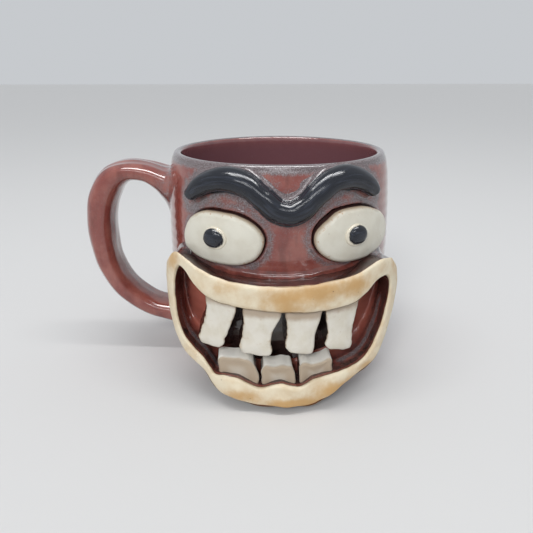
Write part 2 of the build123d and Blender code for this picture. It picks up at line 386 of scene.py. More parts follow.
# ---------------------------------------------------------------- the lips
# Stations round the mouth: outer edge, then inner edge, each across and up. The lower lip
# runs from the left corner to the right corner, the upper one back again.
LOWER_LIP = [
    (-48.6, 57.5, -43.1, 57.5), (-50, 52.5, -45.2, 53.2), (-50.2, 47, -46.2, 47.5),
    (-49.9, 39, -46.1, 39), (-49, 31, -45, 31), (-46.9, 24.6, -42.6, 26), (-43.4, 19.2, -38.9, 22.8),
    (-38.6, 16.3, -34.8, 19.8), (-34.6, 14.0, -31.9, 16.4), (-31.6, 9.0, -30, 13.9),
    (-27.5, 5.8, -26.3, 14.5), (-20.5, 4.3, -20.5, 14.3), (-12, 2.7, -12.3, 11.5),
    (-4.5, 2.9, -4, 13.7), (2, 2.8, 4, 12.1), (8, 2.5, 9.8, 14.8), (15.4, 4.9, 15.4, 15.7),
    (21.6, 9.2, 21.5, 16.3), (29.5, 12.3, 28.6, 17.5), (36.5, 14.5, 33.2, 19.8), (41.5, 20, 37, 24.7),
    (45.2, 27.5, 40.5, 31.3), (48.3, 34.5, 42.5, 37.5), (49.9, 41, 43.7, 43), (49.8, 47.5, 43.5, 48.4),
    (48, 52.5, 40.9, 52.2),
]
UPPER_LIP = [
    (48, 52.5, 40.9, 52.2), (44.9, 57.2, 38, 52.4), (39.2, 60.3, 34.8, 51.2), (32.5, 59.3, 31.4, 48.4),
    (26.2, 57.2, 26.8, 45.8), (17.5, 56.5, 19, 44.7), (9, 55.8, 9.5, 44.3), (0, 55.5, 0, 44.7),
    (-10, 55.5, -10, 45.2), (-20, 55.9, -19.5, 45.9), (-28.5, 57, -28.6, 46.7),
    (-34.5, 58.9, -33.2, 48.4), (-40, 61.3, -37, 51.4), (-44.9, 62.3, -40.4, 55.8),
    (-48.6, 57.5, -43.1, 57.5),
]
# Toasted patches on the lips, and painted shade along the jaw's lower edge: across, up, half width, half
# height, strength
TOAST_AND_SHADE = [
    (-4, 51, 9, 5, 0.9), (9, 53, 9, 5, 0.9), (25, 53, 10, 5, 0.9), (-26, 53, 7, 4, 0.45),
    (-46, 59, 3, 6, 0.8), (46.5, 56, 4, 6, 0.6), (49, 44, 1.6, 12, 0.6), (-49.5, 44, 1.4, 12, 0.35),
    (-20, 7, 8, 3, 0.9), (2, 4, 11, 3.2, 1.7), (20, 9, 9, 4, 1.3), (34, 15, 8, 3, 0.7),
    (-42, 20, 6, 4, 0.3), (1, 46, 12, 2, 0.5), (38, 26, 5, 6, 0.4),
]
LIP_STEPS = 13  # steps between two stations
LIP_EDGE = 1.5  # rounding along the lips' front edges
OUTER_FILLET, INNER_FILLET = 2.6, 2.4  # where the lips meet the wall
lips_low, _ = corners("upper_lip", "lower_lip")
BOW = 55.0  # radius of the upright bow that the lips' fronts follow
BOW_MIDDLE = (-lips_low[1] - BOW) / cos(TURN)
MOUTH_MIDDLE = np.array([0, 34])
NARROWS = 0.0037  # part of its size that the mouth loses for each millimetre back
FULL_SIZE = 64.5  # how far forward the mouth has the size of the stations
DEEPEST = 46  # more than the lips' depth from their front to inside the wall
SUNK_IN = 0.9  # how far the lips' backs go into the wall
LIFT = lips_low[2] - 3.0  # moves the stations to the CAD's height


def bow(across, setback=0.0):
    """How far forward the bow stands, at a distance to the right."""
    return BOW_MIDDLE + np.sqrt(np.maximum((BOW - setback) ** 2 - across**2, 1))


def narrowed(edge, setback, front):
    """An outline's points, narrowed towards the mouth's middle at a distance back from its front."""
    size = 1 - NARROWS * setback / (1 - NARROWS * (FULL_SIZE - front))
    return MOUTH_MIDDLE + (edge - MOUTH_MIDDLE) * size[..., None]


def lip_side(edge, out, levels, fillet):
    """The side of the lips along one edge: from its rounded front back into the wall.
    levels go from 0, where the rounding ends, to 1, where the fillet starts, to 2, inside the wall."""
    front = bow(edge[:, 0])
    back = np.arange(0, DEEPEST, 0.25)[None, :]
    flat = narrowed(edge[:, None], back, front[:, None])
    points = on_face(flat[..., 0], flat[..., 1], front[:, None] - back)
    away = np.hypot(points[..., 0], points[..., 1]) - cup_radius(points[..., 2])
    rows, depths = [], []
    for i in range(len(edge)):
        falling = np.minimum.accumulate(away[i])
        begin = np.interp(LIP_EDGE, back[0], falling)
        start = min(fillet, 0.8 * begin)
        heights = np.where(levels <= 1, begin + (start - begin) * levels,
                           start + (-SUNK_IN - start) * (levels - 1))
        depth = np.interp(-heights, -falling, back[0])
        depth[0] = LIP_EDGE
        spot = narrowed(edge[i], depth, front[i])
        place = on_face(spot[:, 0], spot[:, 1], front[i] - depth)
        sideways = np.array([out[i, 0] * cos(TURN), out[i, 0] * sin(TURN), out[i, 1]])
        rows.append(seated(place, sideways, start))
        depths.append(depth)
    return np.array(rows), np.array(depths)


def outward(line):
    """The direction out of a closed outline at each of its points."""
    way = np.roll(line, -2, 0) - np.roll(line, 2, 0)
    way /= np.linalg.norm(way, axis=1)[:, None] + 1e-9
    return np.stack([way[:, 1], -way[:, 0]], -1)


def mouth_outlines():
    """The lips' outer and inner outlines, a little uneven."""
    ring = curve(LOWER_LIP + UPPER_LIP[1:-1], LIP_STEPS, closed=True)
    ring[:, 1::2] += LIFT
    outer, inner = ring[:, :2], ring[:, 2:]
    outer = outer + 0.14 * np.stack([lumps(outer, 7, 11), lumps(outer, 6, 12)], -1)
    inner = inner + 0.12 * np.stack([lumps(inner, 6, 13), lumps(inner, 5, 14)], -1)
    return outer, inner


def lip_front(outer, inner):
    """The lips' clay front between the outlines, dished and rounded at both edges. Gives its
    points, their places across and up, and how far they are from the nearer edge."""
    across = inner - outer
    width = np.linalg.norm(across, axis=1)[:, None]
    across = across / width
    edge = np.minimum(LIP_EDGE, width * 0.34)
    arcs = np.linspace(0, pi / 2, 7)[1:-1][None, :]
    shares = np.linspace(0, 1, 17)[None, :]
    first_arc, last_arc = edge * (1 - np.cos(arcs)), edge * (1 - np.cos(arcs[:, ::-1]))
    gone = np.concatenate([first_arc, edge + (width - 2 * edge) * shares, width - last_arc], 1)
    sunk = 0.55 * np.abs(2 * gone / width - 1) ** 2.4
    rounding = np.concatenate([edge * (1 - np.sin(arcs)), 0 * shares * edge,
                               edge * (1 - np.sin(arcs[:, ::-1]))], 1)
    flat = outer[:, None] + across[:, None] * gone[..., None]
    uneven = 0.22 * lumps(np.stack([flat[..., 0], flat[..., 1]], -1), 9, 15) - 0.18
    waves = 0.7 * np.cos(2 * pi * (flat[..., 0] + 23) / 22) * ease(np.abs(flat[..., 0]), 42, 30)
    uneven += (waves - 0.3) * (1 - ease(flat[..., 1], 14, 21))
    front = on_face(flat[..., 0], flat[..., 1], bow(flat[..., 0]) - rounding - sunk + uneven)
    return front, flat, np.minimum(gone, width - gone)


def lip_marks(clay, hollow, near_wall, spots):
    """What the lips' material reads. clay is how far a point is inside the bare clay, hollow is
    1 inside the mouth, near_wall is 1 in the fillet at the wall and spots are across and up."""
    across, up = spots[..., 0], spots[..., 1]
    toast_and_shade = sum(np.exp(-((across - u) / wide) ** 2 - ((up - z) / high) ** 2) * strength
                for u, z, wide, high, strength in TOAST_AND_SHADE)
    # dark in a line behind the clay's edge, painted shade in the front of the hollow, and pooled glaze on
    # the outer side
    line = 0.7 * np.exp(-((clay + 0.5) / 0.6) ** 2)
    shaded = 0.72 * hollow * ease(-clay, 0.2, 1.0) * (1 - ease(-clay, 8, 14))
    shelf = 0.75 * (1 - hollow) * ease(-clay, 0.2, 1) * (1 - 0.4 * near_wall)
    pool_and_shade = np.maximum(np.maximum(line, shaded), shelf)
    break_and_highlight = 0.6 * (1 - hollow) * (clay < 0) * ease(np.abs(across), 20, 40)
    # a painted highlight: a pale grey line along the hollow's lower sides, where the darkening is taken
    # off
    low = hollow * ease(np.abs(across), 18, 24) * (1 - ease(up, 34, 44))
    crest = low * np.exp(-((clay + 6.5) / 1.3) ** 2)
    break_and_highlight = np.maximum(break_and_highlight, 1.3 * crest)
    # painted light: a lighter red deep in the hollow's sides, near the wall
    painted_light = hollow * ease(-clay, 9, 15) * (1 - ease(up, 50, 56))
    return {"bare": clay, "toast_and_shade": toast_and_shade, "pool_and_shade": pool_and_shade - 0.9 * crest, "break_and_highlight": break_and_highlight, "painted_light": painted_light}


def build_lips():
    outer, inner = mouth_outlines()
    levels = np.concatenate([np.linspace(0, 1, 9), 1 + np.linspace(0, 1, 13)[1:]])
    side_out, depth_out = lip_side(outer, outward(outer), levels, OUTER_FILLET)
    side_in, depth_in = lip_side(inner, -outward(inner), levels, INNER_FILLET)
    front, flat, rim = lip_front(outer, inner)
    rows = np.concatenate([side_out[:, ::-1], front, side_in], 1)

    # each row runs from the wall over the outer side, the front and the inner side to the wall
    behind = LIP_EDGE + 0.25
    clay = np.concatenate([behind - depth_out[:, ::-1], 1.0 + rim, behind - depth_in], 1)
    hollow = np.concatenate([0 * depth_out, 0 * rim, np.ones_like(depth_in)], 1)
    near_wall = np.concatenate([(levels[::-1] > 1) * 1.0, 0 * rim[0], (levels > 1) * 1.0])
    spots = np.concatenate([np.repeat(outer[:, None], len(levels), 1), flat,
                            np.repeat(inner[:, None], len(levels), 1)], 1)
    marks = lip_marks(clay, hollow, near_wall, spots)

    split = (len(LOWER_LIP) - 1) * LIP_STEPS
    lower = np.arange(0, split + 1)
    upper = np.concatenate([np.arange(split, len(rows)), [0]])
    for name, chosen in (("lower_lip", lower), ("upper_lip", upper)):
        lip = skin(f"{name}_band", name, rows[chosen], {key: mark[chosen] for key, mark in marks.items()})
        finish_as(lip, CLAY)


# ---------------------------------------------------------------- the teeth
# Outlines from each tooth's middle and its lowest height: across, then up
TEETH = {
    "upper_tooth_1": [(-3.3, 23), (-3.7, 15), (-5, 9.2), (-6.7, 4.4), (-7.5, 1.2), (-6.6, -0.8),
                      (-3.8, -1.1), (-1, -1.4), (1.1, -1.1), (2.5, 0.3), (4, 4.5), (5.6, 8.6),
                      (7.1, 13), (8.3, 17), (8.6, 23)],
    "upper_tooth_2": [(-6, 21), (-6, 15), (-6.4, 9.4), (-7.2, 5.2), (-7.6, 2.6), (-6.7, 1), (-3, 0.3),
                      (1, -0.1), (4.3, 0.3), (5.2, 2.6), (4.7, 6), (4.9, 8.5), (5.9, 12),
                      (7.7, 15.5), (8.7, 18.6), (8.5, 21)],
    "upper_tooth_3": [(-6.7, 20), (-6.3, 14.5), (-6, 11.5), (-6.4, 7.6), (-6.5, 3.6), (-5.2, 1.8),
                      (-1.7, 0.7), (2, 0), (4.3, 0.4), (4.9, 2.7), (5.2, 7), (6.2, 12), (7.4, 16),
                      (7.9, 20)],
    "upper_tooth_4": [(-6.3, 22), (-6.4, 14), (-5.8, 10.2), (-6.1, 7), (-6.7, 4.4), (-5.5, 2.5),
                      (-1.3, 0.8), (2.5, -0.2), (4.6, 0.1), (5.2, 4), (5.1, 7.5), (5.8, 12),
                      (6.6, 16.5), (7, 22)],
    "lower_tooth_1": [(-8, -1), (-8.5, 4), (-8.5, 8), (-7.6, 8.9), (-3, 9.7), (1.8, 10.3), (3.4, 10),
                      (5.4, 8.6), (6.6, 6.6), (7.8, 2.8), (7.4, -1)],
    "lower_tooth_2": [(-6.6, -2), (-6.9, 2), (-6.7, 6.6), (-6, 7.6), (-2.3, 7.8), (3.4, 8.3),
                      (4.9, 7.9), (6, 5.6), (6.7, 1), (6.4, -2)],
    "lower_tooth_3": [(-6.6, -3), (-7.1, 3), (-6.9, 7.9), (-6.2, 8.6), (-1.9, 7.5), (2.1, 8.2),
                      (5.2, 9.2), (6.1, 8.6), (6.4, 5), (6.5, 0), (6.2, -2)],
}
# How far each row of teeth stands back, its edges' rounding, crown, depth and dish
ROW = {"upper": (3.3, 1.5, 0.45, 20, 0.0), "lower": (3.7, 0.9, 0.05, 8.5, 0.6)}
GUM_BAND = 6.0  # height of the shaded band at the upper teeth's tops


def build_tooth(name, seed):
    _, across, _ = home(name)
    low, high = corners(name)
    lowest = low[2]
    upper = name.startswith("upper")
    setback, edge, crown, thickness, dish = ROW["upper" if upper else "lower"]
    outline = even(curve(np.array(TEETH[name]) + (across, lowest), 10, closed=True), 150)
    outline = outline + 0.12 * np.stack([lumps(outline, 4, seed), lumps(outline, 4, seed + 1)], -1)
    middle = outline.mean(0)

    def place(u, z, depth):
        # a tooth is a straight block: its face follows the bow only in part
        straight = bow(np.full_like(u, middle[0]), setback) - (u - middle[0]) * middle[0] / BOW
        faced = 0.45 * bow(u, setback) + 0.55 * straight
        lump = 0.16 * lumps(np.stack([u, z], -1), 7, seed + 2) * np.exp(-depth)
        if upper:
            # the slabs lean forward a little towards the top and are fullest near the bottom
            lean = 0.027 * (z - lowest - 14)
            swell = 0.55 * np.exp(-((z - lowest - 3.5) / 3.5) ** 2)
        else:
            lean, swell = 0.0, 0.0
            z = z + 0.05 * depth * ease(z - lowest, 3, 8)  # the tops rise towards the back
        return on_face(u, z, faced - depth + lump + lean + swell)

    rows, depth, side = pad(outline, place, edge, crown, thickness, dish)
    # painted shadow and stain at the upper teeth's tops, painted shade on the lower teeth's fronts and
    # painted light on their tops
    gum = np.maximum(rows[..., 2] - (high[2] - GUM_BAND), 0) if upper else 0 * depth
    faced = 0 * depth if upper else 1 - ease(depth, 0.3, 0.9)
    top = 0 * depth if upper else (1 - side) * ease(depth, 0.6, 1.4)
    marks = {"stain": depth * side, "gum": gum, "faced": faced, "top": top}
    finish_as(skin(f"{name}_block", name, rows, marks), TOOTH)


# ---------------------------------------------------------------- the eyes
EYE_FACE = 55.0  # how far the eyes' faces are from the cup's axis
PUPIL_SEAT = 54.7


def build_eye(side, seed):
    outline = eye_outline(side, EYES, 240) * (ARC, 1)
    outline = outline + 0.05 * np.stack([lumps(outline, 7, seed), lumps(outline, 6, seed + 1)], -1)

    def place(arc, z, depth):
        lump = 0.14 * lumps(np.stack([arc, z], -1), 10, seed + 2) * np.exp(-depth)
        return on_wall(arc / ARC, z, EYE_FACE - depth + lump)

    rows, depth, _ = pad(outline, place, edge=2.3, crown=0.9, thickness=7.5, rings=22)
    finish_as(skin(f"{side}_eye_pad", f"{side}_eye", rows, {"depth": depth}), SLIP)


# A pupil's profile: distance from its middle, height over the eye's face
PUPIL = [(0.4, 3.0), (1.4, 2.95), (2.4, 2.75), (3.2, 2.4), (3.8, 1.9), (4.15, 1.35), (4.25, 0.95),
         (4.4, 0.8), (4.6, 0.75), (4.85, 0.55), (5.0, 0.15), (5.1, -0.4), (5.1, -1.6)]
PAINTED = 4.3  # radius of the painted dome, inside a collar of bare slip


def build_pupil(side, shift, lean, seed):
    """A pellet moved by shift from the CAD's middle, with its collar moved by lean from its dome."""
    node = f"{side}_pupil"
    angle, _, height = home(node)
    profile = curve(PUPIL, 4)
    turn = np.linspace(0, 2 * pi, 72, endpoint=False)
    away, up = profile[:, :1], profile[:, 1:]
    wobble = 1 + 0.035 * np.sin(2 * turn + seed) + 0.02 * np.sin(3 * turn + 2 * seed)
    collar = ease(away, 4.1, 4.8)
    arc = away * wobble * np.cos(turn) + collar * lean[0]
    rise = 0.95 * away * wobble * np.sin(turn) + collar * lean[1]
    flat = np.stack([arc, rise], -1)
    up = up + 0.1 * lumps(flat, 5, seed) + 0 * turn
    rows = on_wall(angle + shift[0] + arc / ARC * 0.92, height + shift[1] + rise, PUPIL_SEAT + up)
    marks = {"paint": PAINTED - away + 0 * turn, "coil": np.concatenate([flat, up[..., None]], -1)}
    finish_as(skin(f"{side}_pupil_pellet", node, rows, marks), BLACK)


# ---------------------------------------------------------------- the brow
BROW_DRAWN_AT = 86.66  # height of the CAD brow's middle that BROW is drawn for
BROW_TIP = 2.6  # length of the rounding at each end
FLARE = 1.7  # radius of the fillet where the coil meets the wall


def build_brow():
    lift = home("eyebrow")[2] - BROW_DRAWN_AT
    line = curve([(angle * ARC, z + lift, half) for angle, z, half in BROW], 22)
    run = run_along(line[:, :2])
    close = np.minimum(run, run[-1] - run)
    round_off = np.sqrt(np.clip(1 - (1 - np.clip(close / BROW_TIP, 0.02, 1)) ** 2, 0, 1))
    half = line[:, 2] * round_off + 0.12 * lumps(line[:, :2], 9, 21)
    crest = (4.6 + (line[:, 2] - 2.2) / 2.2) * (0.25 + 0.75 * round_off)
    way = unit(np.gradient(line[:, :2], axis=0))
    side = np.stack([-way[:, 1], way[:, 0]], -1)  # towards the brow's upper edge

    turn = np.linspace(0, pi / 2, 9)
    over = np.linspace(0, pi, 41)[1:-1]
    rows, coil, paint, pool_and_shade, break_and_highlight = [], [], [], [], []
    for (s, z, _), a, c, n, r in zip(line, half, crest, side, run):
        # q is the distance across the coil, from below to above, and h the height over the wall
        wide = np.clip(HEIGHT - 1.0 - (z + a), 0.25, 3.0)  # little room for the upper fillet at the rim
        low_q, high_q = a + FLARE * 0.8 * (1 - np.sin(turn)), a + wide * (1 - np.sin(turn))
        rise = FLARE * (1 - np.cos(turn))
        domed = FLARE + (c - FLARE) * np.sin(over) ** 0.9
        q = np.concatenate([[-low_q[0] - 0.6], -low_q, -a * np.cos(over),
                            high_q[::-1], [high_q[0] + 0.3]])
        h = np.concatenate([[-0.8], rise, domed, rise[::-1], [-0.8]])
        h = np.where(h > FLARE, h, h * min(1, c / FLARE))
        spot = np.array([s, z]) + n * q[:, None]
        lump = 0.1 * lumps(np.stack([0 * q + r, q], -1), 8, 22)
        rows.append(on_wall(spot[:, 0] / ARC, spot[:, 1], cup_radius(spot[:, 1]) + h + lump * (h > 0.5)))
        coil.append(np.stack([0 * q + r, q, h], -1))
        # painted down to the fillet, and not so far under the tips
        reach_low = 0.2 + 1.3 * ease(min(r, run[-1] - r), 5, 16)
        paint.append(np.where(q < 0, h - (FLARE - reach_low) + 0.3, h - 0.75))
        # the lower fillet is darkened; the upper fillet gets a pale grey painted highlight, and elsewhere
        # the glaze breaks grey
        pool_and_shade.append(0.5 * ((q < 0) & (h < FLARE)) * np.ones_like(q))
        break_and_highlight.append(np.where((q > 0) & (h < FLARE), 0.9, 0.45))
    marks = {"coil": coil, "paint": paint, "pool_and_shade": pool_and_shade, "break_and_highlight": break_and_highlight}
    finish_as(skin("eyebrow_coil", "eyebrow", np.array(rows), marks), BLACK)


# ---------------------------------------------------------------- the handle
# The strap's middle: x, z, thickness, width
STRAP = [
    (-43.5, 78.5, 21, 29), (-48.5, 81.6, 15.2, 26.5), (-54, 84.5, 10.8, 23.6), (-60.5, 87.2, 9, 22),
    (-68.3, 88.0, 9.2, 21), (-75.8, 84.6, 11.9, 20.6), (-81.1, 76.6, 13.0, 20.8), (-83.4, 66, 12.5, 21),
    (-83.4, 54.5, 11.8, 21), (-81.4, 43.5, 10.8, 21), (-76.8, 34, 10.2, 20.8), (-69.5, 26.2, 9.6, 20.2),
    (-60.5, 21, 9.4, 20), (-51, 18.7, 10.4, 21), (-42.5, 18.2, 12.5, 22.6),
]
STRAP_REACH, STRAP_TOP = -89.82, 92.58  # the CAD handle's outer side and top that STRAP is drawn for
# Ridges left by pulling, along the outer face: place across it (-1 to 1), half width, height
PULLED = [(-0.12, 0.16, 0.5), (0.55, 0.13, 0.35), (-0.68, 0.12, 0.3)]
JOINT_FILLET = 3.2  # where the strap meets the wall
JOINT_DEPTH = 1.6  # how far the strap's ends go into the wall


def build_handle():
    low, high = corners("handle")
    shift = np.array([low[0] - STRAP_REACH, high[2] - STRAP_TOP, 0, 0])
    line = curve(np.array(STRAP) + shift, 16)
    way = unit(np.gradient(line[:, :2], axis=0))
    outer = np.stack([way[:, 1], -way[:, 0]], -1)  # away from the finger gap
    run = run_along(line[:, :2])
    turn = np.linspace(0, 2 * pi, 96, endpoint=False)
    across, up = np.cos(turn), np.sin(turn)
    y = np.sign(across) * np.abs(across) ** 0.82  # a rounded oblong section
    bulge = np.sign(up) * np.abs(up) ** 0.74
    ridges = sum(tall * np.exp(-((y - place) / half) ** 2) for place, half, tall in PULLED) - 0.25
    rows, ways, worn = [], [], []
    for (x, z, thick, wide), n, r in zip(line, outer, run):
        a, t = y * wide / 2, bulge * thick / 2
        fade = ease(r, 4, 14) * ease(run[-1] - r, 4, 14)
        t = t + np.where(up > 0, ridges, -0.25 * ridges) * fade * np.abs(up)
        t = t + 0.18 * lumps(np.stack([a, 0 * a + r], -1), 15, 31)
        rows.append(np.stack([x + n[0] * t, a, z + n[1] * t], -1))
        ways.append(np.stack([n[0] * up / (thick / 2), across / (wide / 2), n[1] * up / (thick / 2)], -1))
        worn.append(0.35 * np.exp(-((y + 0.12) / 0.14) ** 2) * (up > 0))
    rows = seated(np.array(rows), unit(np.array(ways)), JOINT_FILLET)
    away = np.hypot(rows[..., 0], rows[..., 1]) - cup_radius(rows[..., 2])
    deep = np.maximum(-JOINT_DEPTH - away, 0)  # what lies inside the wall stays in it
    rows[..., :2] *= (1 + deep / np.hypot(rows[..., 0], rows[..., 1]))[..., None]
    break_and_highlight = np.array(worn) + 0.45 * (1 - ease(run, 4, 20))[:, None]
    marks = {"break_and_highlight": break_and_highlight, "bare": GLAZED + 0 * break_and_highlight}
    finish_as(skin("handle_strap", "handle", rows, marks), GLAZE)


# ---------------------------------------------------------------- materials
def feed(tree, socket, value):
    """Link a socket or set it to a number or colour."""
    if isinstance(value, bpy.types.NodeSocket):
        tree.links.new(value, socket)
    elif socket.type == "RGBA":
        socket.default_value = (*value, 1)
    else:
        socket.default_value = value


def put(tree, kind, inputs=None, **options):
    """Add a node with its options and inputs."""
    made = tree.nodes.new(kind)
    for key, value in options.items():
        setattr(made, key, value)
    for key, value in (inputs or {}).items():
        feed(tree, made.inputs[key], value)
    return made


def maths(tree, kind, first, second):
    return put(tree, "ShaderNodeMath", {0: first, 1: second}, operation=kind).outputs[0]


def times(tree, value, factor):
    return maths(tree, "MULTIPLY", value, factor)


def mix(tree, amount, first, second):
    """A colour from first, at 0, to second, at 1."""
    return put(tree, "ShaderNodeMix", {0: amount, 6: first, 7: second}, data_type="RGBA",
               blend_type="MIX").outputs[2]


def smooth(tree, value, low, high):
    """0 at low, 1 at high and smooth between them."""
    return put(tree, "ShaderNodeMapRange", {"Value": value, "From Min": low, "From Max": high},
               interpolation_type="SMOOTHSTEP").outputs["Result"]


def mark(tree, name):
    """A number stored on the mesh."""
    return put(tree, "ShaderNodeAttribute", attribute_name=name).outputs["Fac"]


def noise(tree, size, detail=3.0, rough=0.55, stretch=(1, 1, 1), coords=None):
    """Cloudy noise round 0.5, with blobs about size millimetres across, over the object or
    over coordinates in millimetres."""
    where = coords or put(tree, "ShaderNodeTexCoord").outputs["Object"]
    scaled = put(tree, "ShaderNodeMapping", {"Vector": where, "Scale": stretch}).outputs[0]
    per = MM if coords is None else 1.0
    return put(tree, "ShaderNodeTexNoise", {"Vector": scaled, "Scale": per / size, "Detail": detail,
                                            "Roughness": rough}).outputs[0]


def added(tree, value, wave, amount):
    """A value with some noise added to it."""
    return maths(tree, "ADD", value, times(tree, maths(tree, "SUBTRACT", wave, 0.5), amount))


def new_look(name):
    """A new material, its node tree and its shader."""
    look = bpy.data.materials.new(name)
    look.use_nodes = True
    return look, look.node_tree, look.node_tree.nodes["Principled BSDF"]


def finish_look(tree, shader, colour, rough, height, distance):
    """Feed the shader; the bump is distance millimetres high where height is 1."""
    feed(tree, shader.inputs["Base Color"], colour)
    feed(tree, shader.inputs["Roughness"], rough)
    bump = put(tree, "ShaderNodeBump", {"Height": height, "Strength": 1.0, "Distance": distance / MM})
    feed(tree, shader.inputs["Normal"], bump.outputs[0])


RED, RED_LIGHT, RED_DEEP = (0.205, 0.047, 0.037), (0.275, 0.090, 0.070), (0.100, 0.024, 0.019)
# LIT_RED is painted light; the inside's red is painted maroon-lilac for the shade and reflections inside
# the cup
LIT_RED, INSIDE_RED = (0.42, 0.13, 0.095), (0.175, 0.076, 0.088)
# the last is the dark of pooled glaze, also used as painted shade
GREY, GREY_LIGHT, POOLED_AND_SHADED = (0.100, 0.072, 0.075), (0.225, 0.195, 0.205), (0.034, 0.019, 0.017)
CREAM, CREAM_DEEP = (0.70, 0.62, 0.47), (0.64, 0.53, 0.37)
OCHRE, UMBER = (0.50, 0.30, 0.115), (0.10, 0.045, 0.022)
# the teeth's top colour is painted light, the front colour painted shade and the gum colour painted
# shadow and stain
TOOTH_WHITE, TOOTH_CREAM, TOOTH_TOP_LIGHT = (0.67, 0.64, 0.57), (0.61, 0.57, 0.48), (0.90, 0.88, 0.83)
TOOTH_TAN, TOOTH_GUM_STAIN_AND_SHADOW, TOOTH_FRONT_SHADE = (0.42, 0.27, 0.14), (0.36, 0.27, 0.19), (0.37, 0.285, 0.20)
STAIN = (0.03, 0.014, 0.010)
# the eyes' foot colour is painted shade in the gap round the pads
EYE_WHITE, EYE_CREAM, EYE_BEIGE = (0.64, 0.62, 0.54), (0.59, 0.56, 0.475), (0.47, 0.36, 0.24)
EYE_RUST, EYE_SPECK, EYE_FOOT_SHADE = (0.42, 0.22, 0.09), (0.20, 0.13, 0.09), (0.05, 0.02, 0.018)
# the black's blue tint and its lighter blue streaks are painted reflection
BLUE_BLACK, BLUE_STREAK, COLLAR = (0.010, 0.012, 0.018), (0.030, 0.036, 0.052), (0.68, 0.63, 0.52)
FLOOR_GREY = (0.62, 0.62, 0.62)


def red_glaze(tree):
    """Iron-red glaze: cloudy, streaked where it ran, grey and speckled where it breaks over an
    edge, and dark where it pools, with painted shade, painted light and painted highlights from
    the marks. Gives colour, roughness and height."""
    clouds = noise(tree, 11, 4)
    runs = noise(tree, 4.2, 3, stretch=(1, 1, 0.3))
    grain = noise(tree, 0.42, 2, 0.7)
    patch = noise(tree, 3.2, 3, 0.6)
    colour = mix(tree, smooth(tree, clouds, 0.36, 0.66), RED, RED_LIGHT)
    colour = mix(tree, times(tree, smooth(tree, runs, 0.48, 0.75), 0.5), colour, RED_DEEP)
    colour = mix(tree, times(tree, smooth(tree, grain, 0.60, 0.74), 0.35), colour, GREY_LIGHT)
    # painted light on the red inside the mouth, beside the teeth and in the lips' hollow
    colour = mix(tree, times(tree, mark(tree, "painted_light"), 0.75), colour, LIT_RED)
    # the cup's inside, painted maroon-lilac for its shade and reflections
    colour = mix(tree, mark(tree, "within"), colour, INSIDE_RED)
    grey = mix(tree, smooth(tree, grain, 0.44, 0.62), GREY, GREY_LIGHT)
    # grey where the glaze breaks, and painted highlights on the rim and some fillets
    break_and_highlight = added(tree, added(tree, mark(tree, "break_and_highlight"), patch, 1.0), grain, 0.8)
    break_and_highlight = smooth(tree, break_and_highlight, 0.12, 0.80)
    colour = mix(tree, break_and_highlight, colour, grey)
    # dark where the glaze pools, and painted shade behind the teeth and in the lips' hollow
    pooled_and_shaded = added(tree, added(tree, mark(tree, "pool_and_shade"), patch, 0.6), grain, 0.3)
    pooled_and_shaded = smooth(tree, pooled_and_shaded, 0.25, 0.85)
    colour = mix(tree, pooled_and_shaded, colour, POOLED_AND_SHADED)
    rough = maths(tree, "ADD", times(tree, break_and_highlight, 0.14), times(tree, patch, 0.14))
    height = maths(tree, "ADD", times(tree, patch, 0.5), times(tree, grain, 0.12))
    return colour, rough, height


def clay_body(tree):
    """Bare cream clay, toasted ochre in patches that also paint shade along the jaw's lower edge, with
    pinholes. Gives colour and height.
    """
    clouds = noise(tree, 7, 4, 0.6)
    patch = noise(tree, 2.2, 3, 0.6)
    grain = noise(tree, 0.5, 2, 0.6)
    colour = mix(tree, smooth(tree, clouds, 0.35, 0.7), CREAM, CREAM_DEEP)
    toast_and_shade = added(tree, added(tree, mark(tree, "toast_and_shade"), clouds, 0.9), patch, 0.4)
    colour = mix(tree, times(tree, smooth(tree, toast_and_shade, 0.05, 1.1), 0.95), colour, OCHRE)
    where = put(tree, "ShaderNodeTexCoord").outputs["Object"]
    holes = put(tree, "ShaderNodeTexVoronoi", {"Vector": where, "Scale": MM / 3.4}).outputs["Distance"]
    hole = times(tree, smooth(tree, holes, 0.10, 0.04), smooth(tree, patch, 0.52, 0.6))
    colour = mix(tree, times(tree, hole, 0.75), colour, UMBER)
    height = maths(tree, "ADD", times(tree, patch, 0.5), times(tree, grain, 0.25))
    return colour, maths(tree, "SUBTRACT", height, hole)


def glaze_and_clay(name):
    """Glaze and bare clay on one piece, which meet in a ragged dark line."""
    look, tree, shader = new_look(name)
    colour, rough, height = red_glaze(tree)
    clay, clay_height = clay_body(tree)
    ragged = added(tree, mark(tree, "bare"), noise(tree, 1.8, 4, 0.65), 1.0)
    bare = smooth(tree, ragged, -0.12, 0.12)
    colour = mix(tree, bare, colour, clay)
    rust = times(tree, smooth(tree, ragged, 1.1, 0.2), smooth(tree, ragged, -0.9, -0.1))
    colour = mix(tree, times(tree, rust, 0.8), colour, UMBER)
    rough = maths(tree, "ADD", times(tree, rough, maths(tree, "SUBTRACT", 1.0, bare)),
                  times(tree, bare, 0.55))
    height = maths(tree, "ADD", height, times(tree, maths(tree, "SUBTRACT", clay_height, height), bare))
    feed(tree, shader.inputs["Coat Weight"], maths(tree, "SUBTRACT", 0.8, times(tree, bare, 0.8)))
    feed(tree, shader.inputs["Coat Roughness"], 0.05)
    finish_look(tree, shader, colour, rough, height, 0.16)
    return look


